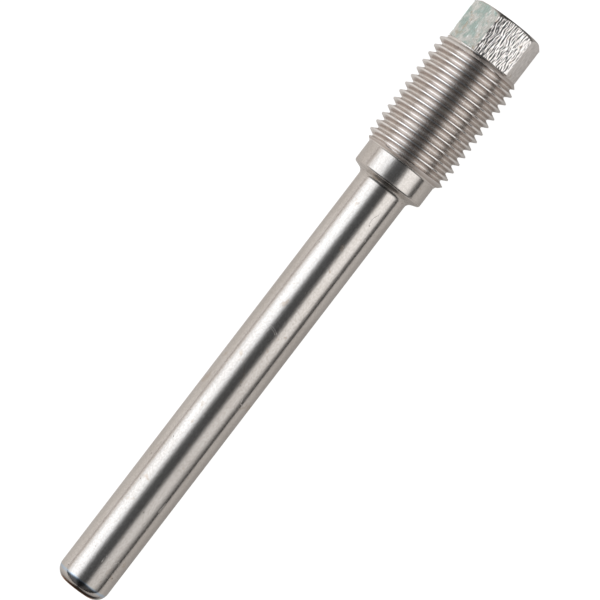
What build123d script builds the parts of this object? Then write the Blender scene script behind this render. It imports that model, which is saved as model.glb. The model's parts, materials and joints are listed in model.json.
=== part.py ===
"""Screw-in thermocouple probe: a drilled, threaded pocket that holds a spring-loaded measuring insert.

Millimetres. The probe lies along X, with its sensing tip at -X and its hexagon at +X.
The origin is on the axis, at the end of the thread that enters the boiler first.
"""

import math
import os

from build123d import *

# Pocket, outside
immersion_length = 75.0  # tip to the start of the thread
stem_diameter = 8.0
tip_radius = 2.0
collar_diameter = 11.25
collar_length = 3.4
neck_length = 0.6  # steep cone from the stem up to the collar
neck_root_radius = 0.8
collar_edge_radius = 0.4

# Parallel pipe thread, G 1/4
thread_major = 13.157
thread_minor = 11.445
thread_pitch = 1.337
thread_length = 18.5
thread_flank_angle = 27.5  # each side of the tooth, in degrees
thread_crest_flat = 0.20
thread_end_chamfer = 0.9
thread_start_angle = 50.0  # degrees about the axis

# Hexagon
hex_across_flats = 10.5
hex_height = 6.5
hex_chamfer_angle = 30.0
hex_chamfer_circle = 10.1  # flat circle left on the end face
hex_turn = 13.5  # turn of the hexagon about the axis, in degrees
spigot_length = 4.8
mouth_chamfer = 0.3

# Fits
snug = 0.02  # radial gap of a pressed, brazed or cemented joint
running = 0.05  # radial gap of a sliding guide
insert_gap = 0.05  # axial gap that leaves two stops just clear of each other

# Measuring insert
insert_travel = 2.5
sheath_diameter = 4.5
sheath_wall = 0.5
sheath_clearance = 0.15  # radial gap in the stem's long bore
cap_face = 0.45
cap_spigot = 0.5
wire_diameter = 0.7
wire_offset = 0.75  # each wire's distance from the axis
bead_radius = 1.2
bead_length = 1.8
bead_dome = 0.6
wire_in_bead = 1.0
oxide_set_back = 1.0  # oxide scraped out of the sheath's open end
seal_overhang = 1.0
sheath_in_sleeve = 2.65  # sheath behind the spring flange

# Sleeve, spring and guide
sleeve_step = 0.2  # radial step from the sheath to the sleeve's wider bore
sleeve_wall = 0.35
flange_thickness = 2.0
flange_overlap = 0.1  # flange beyond the spring, radially
spring_wire = 0.5
spring_length = 4.95
spring_turns = 3.5
spring_inner_gap = 0.4
spring_outer_gap = 0.5
washer_thickness = 0.4
washer_clearance = 0.1
bush_length = 2.0
bush_gap = 0.35

# End plug of the pocket
plug_length = 3.0
plug_shoulder = 0.3

# Terminal end
insulator_length = 3.4  # part inside the sleeve
insulator_flange = 2.1
insulator_overlap = 0.65  # flange beyond the sleeve, radially
mouth_clearance = 0.15
mouth_floor_gap = 0.5
key_width = 1.2
key_height = 0.5
key_clearance = 0.1
pin_offset = 1.3
pin_reach = 2.5
positive_pin_diameter = 1.0
negative_pin_diameter = 1.4
pin_shoulder = 0.2  # the shank in the insulator is this much thicker, radially
pin_chamfer = 0.2
cup_wall = 0.38
cup_length = 2.0
cup_depth = 1.5

# Snap ring and O-ring
ring_thickness = 0.5
ring_set_back = 0.45
ring_depth = 0.45  # how far the ring sits in the hexagon's wall
ring_side_gap = 0.05
ring_inner_lip = 0.4  # ring inside the mouth's bore, radially
ring_opening = 50.0  # degrees
oring_groove_depth = 0.7
oring_groove_width = 1.0
oring_from_face = 2.0
oring_free_gap = 0.03

# Radii that follow from the fits
sheath_r = sheath_diameter / 2
core_r = sheath_r - sheath_wall
bore_r = sheath_r + sheath_clearance
plug_r = bore_r + plug_shoulder
sleeve_bore_r = sheath_r + sleeve_step
sleeve_r = sleeve_bore_r + sleeve_wall
spring_inner_r = sleeve_r + spring_inner_gap
spring_outer_r = spring_inner_r + spring_wire
flange_r = spring_outer_r + flange_overlap
barrel_bore_r = spring_outer_r + spring_outer_gap
spigot_bore_r = sleeve_r + running
insulator_r = sleeve_bore_r - snug
insulator_flange_r = sleeve_r + insulator_overlap
mouth_r = insulator_flange_r + mouth_clearance
ring_groove_r = mouth_r + ring_depth + ring_side_gap

# Places along the axis, worked back from the two ends
tip_x = -immersion_length
collar_x = -collar_length
neck_x = collar_x - neck_length
barrel_end = thread_length
hex_end = barrel_end + hex_height
spigot_x = barrel_end - spigot_length
washer_x = spigot_x - washer_thickness
flange_back = washer_x - spring_length
flange_front = flange_back - flange_thickness
bush_back = flange_front - bush_gap
bush_front = bush_back - bush_length
plug_back = tip_x + plug_length
cap_x = plug_back + insert_gap
sheath_x = cap_x + cap_face
oxide_x = sheath_x + cap_spigot
sheath_end = flange_back + sheath_in_sleeve
oxide_end = sheath_end - oxide_set_back
seal_end = sheath_end + seal_overhang
ring_back = hex_end - ring_set_back
ring_front = ring_back - ring_thickness
insulator_back = ring_front - insert_gap - insert_travel
insulator_step = insulator_back - insulator_flange
insulator_front = insulator_step - insulator_length
mouth_floor = insulator_step - mouth_floor_gap
cup_x = insulator_front - cup_length
pin_tip = insulator_back + pin_reach
oring_x = barrel_end - oring_from_face

# Each pin's side of the axis and its diameter: the positive one is on +Y
pins = ((1, positive_pin_diameter), (-1, negative_pin_diameter))


def turned(*points):
    """Solid of revolution about X; each point is (x, radius)."""
    return revolve(make_face(Polyline(*points, close=True)), Axis.X, 360)


def rod(radius, start, end, y=0.0):
    """Round bar along X."""
    bar = Cylinder(radius, end - start, align=(Align.CENTER, Align.CENTER, Align.MIN))
    return Location((start, y, 0), (0, 90, 0)) * bar


def tube(outer, inner, start, end):
    return rod(outer, start, end) - rod(inner, start, end)


def ring_edges(solid, x, radius):
    """Circular edges about the axis at one place and radius."""
    found = solid.edges().filter_by(GeomType.CIRCLE)
    return found.filter_by(lambda e: abs(e.center().X - x) < 1e-4 and abs(e.radius - radius) < 1e-4)


def end_cutter(start, way):
    """Ring that bevels one end of the thread at 45 degrees; way points into the thread."""
    margin = 0.1  # the cutter stands this far out past the end face
    inner_r = thread_major / 2 - thread_end_chamfer - margin
    outer_r = thread_major / 2 + thread_end_chamfer
    edge = start - way * margin
    far = edge + way * (outer_r - inner_r)
    outline = Polyline((inner_r, edge), (outer_r, edge), (outer_r, far), close=True)
    return revolve(make_face(Plane.XZ * outline), Axis.Z, 360)


def threaded_barrel():
    """Right-hand helical thread, wound along Z, fused to its core, cut square, bevelled and laid along X."""
    minor_r = thread_minor / 2
    depth = thread_major / 2 - minor_r
    root_sink = 0.15  # the tooth starts inside the core, so that the two fuse
    foot = thread_crest_flat / 2 + (depth + root_sink) * math.tan(math.radians(thread_flank_angle))
    height = (math.ceil(thread_length / thread_pitch) + 2) * thread_pitch
    with BuildPart() as tooth:
        with BuildLine() as path:
            Helix(thread_pitch, height, minor_r)
        with BuildSketch(Plane((minor_r, 0, 0), x_dir=(1, 0, 0), z_dir=(0, -1, 0))):
            with BuildLine():
                Polyline(
                    (-root_sink, -foot),
                    (-root_sink, foot),
                    (depth, thread_crest_flat / 2),
                    (depth, -thread_crest_flat / 2),
                    close=True,
                )
            make_face()
        sweep(path=path.wire(), is_frenet=True)
    upright = (Align.CENTER, Align.CENTER, Align.MIN)
    width = 2 * thread_major
    wound = tooth.part.moved(Location((0, 0, -thread_pitch), (0, 0, thread_start_angle)))
    core = Cylinder(minor_r, height, align=upright).moved(Location((0, 0, -thread_pitch)))
    barrel = (core + wound) & Box(width, width, thread_length, align=upright)
    barrel = barrel - end_cutter(0, 1) - end_cutter(thread_length, -1)
    return Location((0, 0, 0), (0, 90, 0)) * barrel


def pocket_blank():
    """Stem, neck and collar as turned, before drilling."""
    stem_r, collar_r = stem_diameter / 2, collar_diameter / 2
    blank = turned(
        (tip_x, 0),
        (tip_x, stem_r),
        (neck_x, stem_r),
        (collar_x, collar_r),
        (0, collar_r),
        (0, 0),
    )
    blank = fillet(ring_edges(blank, tip_x, stem_r), tip_radius)
    blank = fillet(ring_edges(blank, neck_x, stem_r), neck_root_radius)
    return fillet(ring_edges(blank, collar_x, collar_r), collar_edge_radius)


def probe_body():
    """One bar turned to stem, collar and threaded barrel, then drilled from both ends."""
    body = pocket_blank() + threaded_barrel()
    body -= rod(bore_r, plug_back, bush_front)
    body -= rod(plug_r, tip_x, plug_back)
    return body - rod(barrel_bore_r, bush_front, barrel_end)


def tip_plug():
    """Closing plug, welded in and rounded with the stem's end."""
    return pocket_blank() & rod(plug_r - snug, tip_x, plug_back)


def hex_bar():
    """Hexagonal head with a 30 degree chamfer, two corners on the local Y axis."""
    across_corners = hex_across_flats / math.cos(math.pi / 6)
    outline = RegularPolygon(across_corners / 2, 6, rotation=0)
    bar = extrude(Plane((barrel_end, 0, 0), x_dir=(0, 1, 0), z_dir=(1, 0, 0)) * outline, hex_height)
    flat_r, corner_r = hex_chamfer_circle / 2, across_corners / 2
    drop = (corner_r - flat_r) * math.tan(math.radians(hex_chamfer_angle))
    envelope = turned(
        (barrel_end, 0),
        (barrel_end, corner_r),
        (hex_end - drop, corner_r),
        (hex_end, flat_r),
        (hex_end, 0),
    )
    return bar & envelope


def hex_head():
    """Hexagon and its spigot, bored for the insert, with a key slot and two grooves."""
    head = hex_bar() + rod(barrel_bore_r - snug, spigot_x, barrel_end)
    head -= rod(spigot_bore_r, spigot_x, mouth_floor)
    head -= rod(mouth_r, mouth_floor, hex_end)
    head -= turned(
        (hex_end - mouth_chamfer, 0),
        (hex_end - mouth_chamfer, mouth_r),
        (hex_end, mouth_r + mouth_chamfer),
        (hex_end, 0),
    )
    head -= rod(ring_groove_r, ring_front - ring_side_gap, ring_back + ring_side_gap)
    half = oring_groove_width / 2
    head -= rod(sleeve_r + oring_groove_depth, oring_x - half, oring_x + half)
    return head - key(mouth_floor, hex_end, key_clearance)


def key(start, end, clearance=0.0):
    """Bar on the flange's +Y side that stops the insert turning; with clearance, its slot."""
    root = insulator_flange_r / 2  # well inside the flange
    depth = insulator_flange_r + key_height + clearance - root
    bar = Box(end - start, depth, key_width + 2 * clearance, align=(Align.MIN, Align.MIN, Align.CENTER))
    return Location((start, root, 0)) * bar


def snap_ring():
    """Open spring ring that keeps the insert in; its opening is over the key slot."""
    ring = tube(mouth_r + ring_depth, mouth_r - ring_inner_lip, ring_front, ring_back)
    reach = 2 * mouth_r
    half_width = reach * math.tan(math.radians(ring_opening / 2))
    wedge = make_face(Polyline((0, 0), (reach, half_width), (reach, -half_width), close=True))
    plane = Plane((ring_front, 0, 0), x_dir=(0, 1, 0), z_dir=(1, 0, 0))
    return ring - extrude(plane * wedge, ring_thickness)


def guide_bush():
    """Bush on the barrel's floor that centres the sheath."""
    return tube(barrel_bore_r - snug, sheath_r + running, bush_front, bush_back)


def spring_washer():
    """Flat washer between the spring and the spigot."""
    return tube(barrel_bore_r - washer_clearance, sleeve_r + washer_clearance, washer_x, spigot_x)


def insert_spring():
    """Compression spring that holds the insert on the bottom of the pocket."""
    mean_r = spring_inner_r + spring_wire / 2
    height = spring_length - spring_wire
    coil = Helix(height / spring_turns, height, mean_r)
    section = Plane(coil @ 0, z_dir=coil % 0) * Circle(spring_wire / 2)
    wound = sweep(section, path=coil, is_frenet=True)
    return Location((flange_back + spring_wire / 2, 0, 0), (0, 90, 0)) * wound


def o_ring_seal():
    """Rubber ring between the spigot and the sliding sleeve."""
    section_r = oring_groove_depth / 2 - oring_free_gap
    torus = Torus(sleeve_r + oring_groove_depth / 2, section_r)
    return Location((oring_x, 0, 0), (0, 90, 0)) * torus


def insert_sheath():
    return tube(sheath_r, core_r, sheath_x, sheath_end)


def sheath_end_cap():
    """Closing cap of the sheath, with a short spigot."""
    return rod(sheath_r, cap_x, sheath_x) + rod(core_r - snug, sheath_x, oxide_x)


def bead_shape(gap=0.0):
    """Domed weld bead on the cap."""
    bead = rod(bead_radius + gap, oxide_x, oxide_x + bead_length + gap)
    return fillet(ring_edges(bead, oxide_x + bead_length + gap, bead_radius + gap), bead_dome)


def junction_bead():
    """Weld bead that joins the two wires and earths them to the cap."""
    return bead_shape() - wire(1, snug) - wire(-1, snug)


def wire(side, gap=0.0):
    """Thermocouple wire from the bead, through the oxide, out to its pin."""
    near, far = side * wire_offset, side * pin_offset
    start = oxide_x + bead_length - wire_in_bead
    bend_start = seal_end + wire_diameter / 2
    bend_end = cup_x - wire_diameter / 4
    end = cup_x + cup_depth
    slant = math.hypot(bend_end - bend_start, pin_offset - wire_offset)
    turn = math.atan2(pin_offset - wire_offset, bend_end - bend_start)
    run_share = 0.45  # part of the shorter run that each bend takes up
    bend_radius = run_share * min(slant, end - bend_end) / math.tan(turn / 2)
    corners = [(start, near), (bend_start, near), (bend_end, far), (end, far)]
    path = FilletPolyline(*corners, radius=bend_radius)
    section = Plane((start, near, 0), z_dir=(1, 0, 0)) * Circle(wire_diameter / 2 + gap)
    return sweep(section, path=path)


def oxide_core():
    """Packed oxide that insulates the wires inside the sheath."""
    core = rod(core_r - snug, oxide_x, oxide_end)
    return core - bead_shape(snug) - wire(1, snug) - wire(-1, snug)


def sheath_end_seal():
    """Cast seal that closes the open end of the sheath."""
    seal = rod(core_r - snug, oxide_end, sheath_end) + rod(sleeve_bore_r - snug, sheath_end, seal_end)
    return seal - wire(1, snug) - wire(-1, snug)


def transition_sleeve():
    """Sleeve brazed on the sheath; its flange takes the spring."""
    sleeve = rod(sleeve_r, flange_front, insulator_step) + rod(flange_r, flange_front, flange_back)
    sleeve -= rod(sheath_r + snug, flange_front, sheath_end)
    return sleeve - rod(sleeve_bore_r, sheath_end, insulator_step)


def cup_radius(diameter):
    return max(wire_diameter / 2 + snug + cup_wall, diameter / 2 + pin_shoulder)


def contact_pin(side, diameter):
    """Turned pin with a thicker shank and a lead-in chamfer; the wire is crimped in its cup."""
    y = side * pin_offset
    pin = rod(cup_radius(diameter), cup_x, insulator_front, y)
    pin += rod(diameter / 2 + pin_shoulder, insulator_front, insulator_back, y)
    pin += rod(diameter / 2, insulator_back, pin_tip, y)
    pin = chamfer(pin.edges().filter_by(GeomType.CIRCLE).group_by(Axis.X)[-1], pin_chamfer)
    return pin - rod(wire_diameter / 2 + snug, cup_x, cup_x + cup_depth, y)


def terminal_insulator():
    """Insulator that carries both pins, with its guide key."""
    body = rod(insulator_r, insulator_front, insulator_step)
    body += rod(insulator_flange_r, insulator_step, insulator_back)
    body += key(insulator_step, insulator_back)
    for side, diameter in pins:
        hole_r = diameter / 2 + pin_shoulder + snug
        body -= rod(hole_r, insulator_front, insulator_back, side * pin_offset)
    return body


def potting_compound():
    """Potting around the bends of the wires and the crimp cups."""
    fill = rod(sleeve_bore_r - snug, seal_end, insulator_front)
    for side, diameter in pins:
        cup_hole = rod(cup_radius(diameter) + snug, cup_x, insulator_front, side * pin_offset)
        fill = fill - wire(side, snug) - cup_hole
    return fill


nodes = {
    "probe_body": probe_body,
    "tip_plug": tip_plug,
    "hex_head": hex_head,
    "guide_bush": guide_bush,
    "spring_washer": spring_washer,
    "insert_spring": insert_spring,
    "o_ring_seal": o_ring_seal,
    "snap_ring": snap_ring,
    "insert_sheath": insert_sheath,
    "sheath_end_cap": sheath_end_cap,
    "oxide_core": oxide_core,
    "junction_bead": junction_bead,
    "positive_wire": lambda: wire(1),
    "negative_wire": lambda: wire(-1),
    "sheath_end_seal": sheath_end_seal,
    "transition_sleeve": transition_sleeve,
    "potting_compound": potting_compound,
    "terminal_insulator": terminal_insulator,
    "positive_pin": lambda: contact_pin(1, positive_pin_diameter),
    "negative_pin": lambda: contact_pin(-1, negative_pin_diameter),
}

os.makedirs("parts", exist_ok=True)
turned_head = Location((0, 0, 0), (hex_turn, 0, 0))
for name, make in nodes.items():
    solid = turned_head * make()
    export_step(solid, f"parts/{name}.step")
    box = solid.bounding_box()
    count = len(solid.solids())
    print(f"{name}: {count} solid, {solid.volume:.2f} mm3, x {box.min.X:.2f} to {box.max.X:.2f}")
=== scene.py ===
# %% [markdown]
# # Screw-in thermocouple probe
# A boiler thermocouple is a steel pocket that screws into a tapping, with a spring-loaded measuring
# insert inside it. What shows is bare metal: a long polished stem, a short collar, a cut pipe thread
# and a hexagon whose skin is still the skin of the drawn bar. The lesson builds the visible pieces
# again with finer edges than the working model has, and gives every piece, seen or hidden, its own
# finish. The working model is loaded first, and nothing in it is moved.

# %% Load the working model
import json
import math

import bmesh
import bpy
from mathutils import Matrix, Vector, noise


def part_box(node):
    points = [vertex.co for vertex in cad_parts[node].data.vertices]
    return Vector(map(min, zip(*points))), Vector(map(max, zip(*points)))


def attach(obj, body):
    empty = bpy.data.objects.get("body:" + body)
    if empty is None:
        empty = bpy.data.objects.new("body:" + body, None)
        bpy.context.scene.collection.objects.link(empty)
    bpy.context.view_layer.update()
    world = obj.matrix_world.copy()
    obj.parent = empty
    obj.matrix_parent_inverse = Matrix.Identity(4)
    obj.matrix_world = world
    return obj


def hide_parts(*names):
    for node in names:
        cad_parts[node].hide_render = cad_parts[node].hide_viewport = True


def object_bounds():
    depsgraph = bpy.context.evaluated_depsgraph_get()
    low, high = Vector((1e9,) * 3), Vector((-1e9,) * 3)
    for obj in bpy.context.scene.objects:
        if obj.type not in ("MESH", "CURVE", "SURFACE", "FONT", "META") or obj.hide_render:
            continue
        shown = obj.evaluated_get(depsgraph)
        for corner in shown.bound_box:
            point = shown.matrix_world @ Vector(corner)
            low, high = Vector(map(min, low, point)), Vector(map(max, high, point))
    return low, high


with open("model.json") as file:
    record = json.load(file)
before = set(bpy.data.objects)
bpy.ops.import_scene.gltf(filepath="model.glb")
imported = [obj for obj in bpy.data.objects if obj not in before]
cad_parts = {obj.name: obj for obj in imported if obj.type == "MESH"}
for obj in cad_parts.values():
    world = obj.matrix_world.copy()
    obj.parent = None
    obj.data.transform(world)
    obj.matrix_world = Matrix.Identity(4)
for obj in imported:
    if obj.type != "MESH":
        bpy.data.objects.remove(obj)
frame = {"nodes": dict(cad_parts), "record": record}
cad_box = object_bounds()
mm = 0.001
print("working model, mm:", [[round(c / mm, 2) for c in corner] for corner in cad_box])

# %% [markdown]
# ## Where the pieces are
# Where a piece starts and stops is read off the working model's boxes, in millimetres along the
# probe's own axis, so a change there carries through to here. What lies inside a piece, such as a
# groove or a step, has no box, and its place is given with that piece. Two facts need more than a box:
# how far round the hexagon is turned, and where the thread's crest passes. Both are measured from the
# model's corners.

# %% Read places off the model


def ends(node):
    """Where a node starts and stops along the axis, in mm."""
    low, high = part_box(node)
    return low.x / mm, high.x / mm


def reach(node):
    """A round node's outer radius, in mm."""
    low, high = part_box(node)
    return (high.z - low.z) / 2 / mm


def rim_points(node, share):
    """(x, angle, radius) of the vertices that lie furthest from the axis, in mm and radians."""
    verts = [v.co / mm for v in frame["nodes"][node].data.vertices]
    polar = [(v.x, math.atan2(v.z, v.y), math.hypot(v.y, v.z)) for v in verts]
    widest = max(p[2] for p in polar)
    return [p for p in polar if p[2] > share * widest]


def mean_phase(values, period):
    """Average of values that repeat with a period, between 0 and that period."""
    turns = [full_turn * v / period for v in values]
    angle = math.atan2(sum(map(math.sin, turns)), sum(map(math.cos, turns)))
    return angle % full_turn / full_turn * period


full_turn = 2 * math.pi
tip_x, plug_back = ends("tip_plug")
spigot_x, hex_end = ends("hex_head")
barrel_end = ends("probe_body")[1]
bush_front = ends("guide_bush")[0]
ring_front, ring_back = ends("snap_ring")
insulator_front, insulator_back = ends("terminal_insulator")
cup_x, pin_tip = ends("positive_pin")
plug_r = reach("tip_plug")
bush_r = reach("guide_bush")
print("tip", tip_x, "thread end", round(barrel_end, 2), "hexagon end", round(hex_end, 2))

# %% [markdown]
# ## Sizes of the turned pocket
# The pocket is one turned bar: an 8 mm stem with a rounded tip, a neck that opens into a collar, and
# a parallel pipe thread. These are the sizes on the turner's drawing, in millimetres.

# %% Drawing sizes
stem_r = 4.0
tip_rounding = 2.0
collar_r = 5.625
collar_front, neck_front = -3.4, -4.0
neck_rounding, collar_rounding = 0.8, 0.4
bore_r = 2.4
snug = 0.02
thread_major_r = 13.157 / 2
thread_minor_r = 11.445 / 2
pitch = 1.337
flank = math.radians(27.5)
crest_flat = 0.20
root_rounding, crest_rounding = 0.19, 0.05
end_bevel = 0.9
flats_r = 10.5 / 2
corner_r = flats_r / math.cos(math.pi / 6)
end_circle_r = 10.1 / 2
end_chamfer = math.radians(30)
around = 96  # steps of a full turn
crests = rim_points("probe_body", 0.9995)
crest_at_side = mean_phase([x - pitch * angle / full_turn for x, angle, _ in crests], pitch)
corners_found = [math.degrees(angle) for _, angle, _ in rim_points("hex_head", 0.999)]
hex_turn = math.radians(mean_phase(corners_found, 60))
print("crest passes +Y at", round(crest_at_side, 3), "mm; hexagon turned", round(math.degrees(hex_turn), 2))

# %% [markdown]
# ## Camera
# The probe lies flat and is looked at from straight above with a long lens, from a little over half a
# metre, turned so that the probe runs from the lower left to the upper right. A long lens keeps the
# stem's two edges parallel. The camera comes first, because every finish is judged through it.

# %% Camera
frame_width = 84.2
camera_height = 600.0
camera_turn = math.radians(-52.56)
aim_along, aim_beside = 1.20, -0.29  # from the probe's middle
sensor_width = 36.0
middle = (Vector(cad_box[0]) + Vector(cad_box[1])) / 2 / mm
aim = Vector((middle.x + aim_along, middle.y + aim_beside, camera_height))

camera_data = bpy.data.cameras.new("camera")
camera_data.sensor_width = sensor_width
camera_data.lens = sensor_width * camera_height / frame_width
camera_data.clip_start = 0.01
camera = bpy.data.objects.new("camera", camera_data)
camera.location = aim * mm
camera.rotation_euler = (0, 0, camera_turn)
bpy.context.scene.collection.objects.link(camera)
bpy.context.scene.camera = camera
print("camera lens", round(camera_data.lens, 1), "mm")

# %% [markdown]
# ## A lathe in mesh code
# Nearly every piece here was turned, so the main tool is a lathe. Its outline is a list of corners,
# (place, radius, rounding). Each corner with a rounding gets a vertex bevel: on a bare wire of edges
# that draws an arc, and the bevel's offset for a wanted radius is the radius times the tangent of
# half the turn. Spin then sweeps the wire round the axis. A curve with a bevel object or a Screw
# modifier could do it too, but spin leaves plain mesh that later cells can cut and join.

# %% Outline and spin


def rounded(bm, vert, radius, segments=5):
    """Turns one corner of a wire into an arc of that radius, in mm."""
    sides = [edge.other_vert(vert).co - vert.co for edge in vert.link_edges]
    turn = math.pi - sides[0].angle(sides[1])
    bmesh.ops.bevel(
        bm, geom=[vert], affect="VERTICES", offset_type="OFFSET", profile=0.5, material=-1,
        offset=radius * mm * math.tan(turn / 2), segments=segments, clamp_overlap=False,
    )


def outline(bm, corners, closed=True):
    """Wire through (x, radius) or (x, radius, rounding) corners, in the plane of +Y."""
    verts = [bm.verts.new((corner[0] * mm, corner[1] * mm, 0)) for corner in corners]
    for start, end in zip(verts, verts[1:] + verts[:1] if closed else verts[1:]):
        bm.edges.new((start, end))
    for vert, corner in zip(verts, corners):
        if len(corner) > 2:
            rounded(bm, vert, corner[2])


def spun(corners, closed=True, angle=full_turn, steps=around):
    """Bmesh of an outline swept round the axis; a full turn meets itself and closes its poles."""
    bm = bmesh.new()
    outline(bm, corners, closed)
    bmesh.ops.spin(
        bm, geom=bm.verts[:] + bm.edges[:], cent=(0, 0, 0), axis=(1, 0, 0), angle=angle, steps=steps,
        use_merge=angle == full_turn,
    )
    bmesh.ops.remove_doubles(bm, verts=bm.verts[:], dist=merge_distance)
    return bm


def round_stretch(centre, radius, start, end, steps=14):
    """Points of an arc in an outline, between two angles in degrees from +X towards the outside."""
    angles = [math.radians(start + (end - start) * i / steps) for i in range(steps + 1)]
    return [(centre[0] + radius * math.cos(a), centre[1] + radius * math.sin(a)) for a in angles]


merge_distance = 0.0005 * mm
print("a lathe part has", around, "steps round the axis")

# %% [markdown]
# A finished bmesh becomes a piece in one place: normals are made to point outwards, the mesh gets its
# materials, smooth shading breaks at real edges, and the piece is told which part of the mechanism
# it rides on. The count of open edges is printed, because a closed skin is what makes it solid.

# %% From bmesh to piece


def piece(bm, name, body, finishes, stands_for):
    """Object on a body of the mechanism, in place of the nodes that it stands for."""
    bmesh.ops.recalc_face_normals(bm, faces=bm.faces[:])
    open_edges = sum(not edge.is_manifold for edge in bm.edges)
    mesh = bpy.data.meshes.new(name)
    bm.to_mesh(mesh)
    bm.free()
    for finish in finishes:
        mesh.materials.append(finish)
    mesh.shade_smooth()
    mesh.set_sharp_from_angle(angle=sharp_edge)
    made = bpy.data.objects.new(name, mesh)
    bpy.context.scene.collection.objects.link(made)
    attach(made, body)
    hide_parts(*stands_for)
    print(f"{name}: {len(mesh.polygons)} faces, {open_edges} open edges")
    return made


sharp_edge = math.radians(32)

# %% [markdown]
# ## Writing a finish
# A finish is a Principled shader with a few textures behind it, all on Object coordinates, which are
# the probe's own metres. The small class keeps each finish readable: noise takes the size of its
# features in millimetres, and bump takes a real depth in millimetres, so that a groove has the slope
# that the same groove has in metal. What doesn't vary is set on the shader's own sockets.

# %% The finish bench


class Finish:
    """A material in the making; each method adds nodes and gives back what they put out."""

    def __init__(self, name, **sockets):
        self.material = bpy.data.materials.new(name)
        self.material.use_nodes = True
        self.tree = self.material.node_tree
        self.tree.nodes.clear()
        self.shader = self.add("BsdfPrincipled", **sockets)
        self.add("OutputMaterial", Surface=self.shader.outputs["BSDF"])
        self.place = self.add("TexCoord").outputs["Object"]

    def add(self, kind, settings=None, **sockets):
        """One node; a socket takes a number, a colour or another node's output."""
        made = self.tree.nodes.new("ShaderNode" + kind)
        for name, value in (settings or {}).items():
            setattr(made, name, value)
        for name, value in sockets.items():
            self.feed(made.inputs[name.replace("_", " ")], value)
        return made

    def feed(self, socket, value):
        if isinstance(value, bpy.types.NodeSocket):
            self.tree.links.new(value, socket)
        else:
            socket.default_value = value

    def maths(self, operation, *values):
        """Sum, product or other operation on numbers and outputs."""
        made = self.add("Math", {"operation": operation})
        for socket, value in zip(made.inputs, values):
            self.feed(socket, value)
        return made.outputs[0]

    def moved(self, stretch=(1, 1, 1), shift=(0, 0, 0), vector=None):
        """The place that a texture reads, stretched and shifted."""
        mapping = self.add("Mapping", Vector=vector or self.place, Scale=stretch, Location=shift)
        return mapping.outputs[0]

    def noise(self, size, stretch=(1, 1, 1), shift=(0, 0, 0), vector=None, **more):
        """Soft noise whose features are about size mm across; a stretch under 1 draws them out."""
        where = self.moved(stretch, shift, vector)
        return self.add("TexNoise", Vector=where, Scale=1 / (size * mm), **more).outputs[0]

    def cells(self, size, shift):
        """Distance to the nearest of scattered points, about size mm apart."""
        return self.add("TexVoronoi", Vector=self.moved(shift=shift), Scale=1 / (size * mm)).outputs[0]

    def between(self, value, low, high, out_low=0.0, out_high=1.0):
        """Smooth step: value from low to high becomes out_low to out_high."""
        made = self.add("MapRange", {"interpolation_type": "SMOOTHSTEP"}, Value=value)
        limits = {"From Min": low, "From Max": high, "To Min": out_low, "To Max": out_high}
        for name, number in limits.items():
            self.feed(made.inputs[name], number)
        return made.outputs[0]

    def tint(self, factor, first, second):
        """The first colour where the factor is 0, the second where it is 1."""
        made = self.add("Mix", {"data_type": "RGBA"})
        self.feed(made.inputs[0], factor)
        self.feed(made.inputs[6], colour(first))
        self.feed(made.inputs[7], colour(second))
        return made.outputs[2]

    def ramp(self, value, top, *stops):
        """Colours at values from 0 to top, smoothly joined."""
        made = self.add("ValToRGB")
        elements = made.color_ramp.elements
        while len(elements) < len(stops):
            elements.new(0.5)
        for element, (at, shade) in zip(elements, stops):
            element.position = at / top
            element.color = colour(shade)
        self.feed(made.inputs[0], self.maths("DIVIDE", value, top))
        return made.outputs[0]

    def radius(self):
        """Distance from the probe's axis, in mm."""
        split = self.add("SeparateXYZ", Vector=self.place)
        square = self.maths("MULTIPLY", split.outputs[1], split.outputs[1])
        square = self.maths("MULTIPLY_ADD", split.outputs[2], split.outputs[2], square)
        return self.maths("DIVIDE", self.maths("SQRT", square), mm)

    def along(self, axis=0):
        """Place along an axis of the probe, in mm."""
        return self.maths("DIVIDE", self.add("SeparateXYZ", Vector=self.place).outputs[axis], mm)

    def bump(self, height, depth, under=None):
        """Relief of that depth in mm for a height from 0 to 1, on top of another relief."""
        made = self.add("Bump", Height=height, Distance=depth * mm, Strength=1.0)
        if under is not None:
            self.feed(made.inputs["Normal"], under)
        return made.outputs[0]

    def set(self, **sockets):
        """Feeds the shader's own sockets and gives the material back, if there is one."""
        for name, value in sockets.items():
            self.feed(self.shader.inputs[name.replace("_", " ")], value)
        return getattr(self, "material", None)


def colour(value):
    """A colour of three numbers gets the fourth that a socket wants; an output passes."""
    return (*value, 1.0) if isinstance(value, tuple) and len(value) == 3 else value


# %% [markdown]
# ## Turned and polished stainless steel
# The stem was turned, then polished while it spun, so its scratches run round it, far finer than the
# eye can part. What the eye does see is their effect: reflections with soft edges and a faint grain.
# On top come orange peel, a few loose scratches, small pits and tea-coloured stains, and two short
# arcs where something once knocked against it. The wheel doesn't get into the neck, which stays
# duller. The metal is a warm grey, because chromium steel reflects red a little better than blue.
# Welding the tip shut leaves heat colours, which go by the distance from the weld: pale straw furthest
# off, then light blue, grey and brown, and copper along the seam itself.

# %% Polished stem
heat_plan = [
    (0.16, (0.88, 0.36, 0.11)), (0.5, (0.60, 0.30, 0.15)), (0.9, (0.42, 0.39, 0.37)),
    (1.4, (0.56, 0.52, 0.49)), (1.7, (0.60, 0.60, 0.60)), (2.0, (0.50, 0.64, 0.80)),
    (2.3, (0.68, 0.63, 0.56)),
]
heat_fade, heat_reach, heat_strength = 1.9, 2.5, 0.9
knock_x, knock_radii = -29.3, (2.42, 2.68)
knock_bend = (knock_x - 2.5, 0.8)  # the point that both arcs bend round
knock_line, knock_reach = (0.02, 0.08), (0.6, 0.85)
neck_middle = (neck_front + collar_front) / 2
neck_dullness = 0.11
weld_r = plug_r + snug
weld_x = tip_x + tip_rounding - math.sqrt(tip_rounding**2 - (weld_r - (stem_r - tip_rounding)) ** 2)


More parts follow.
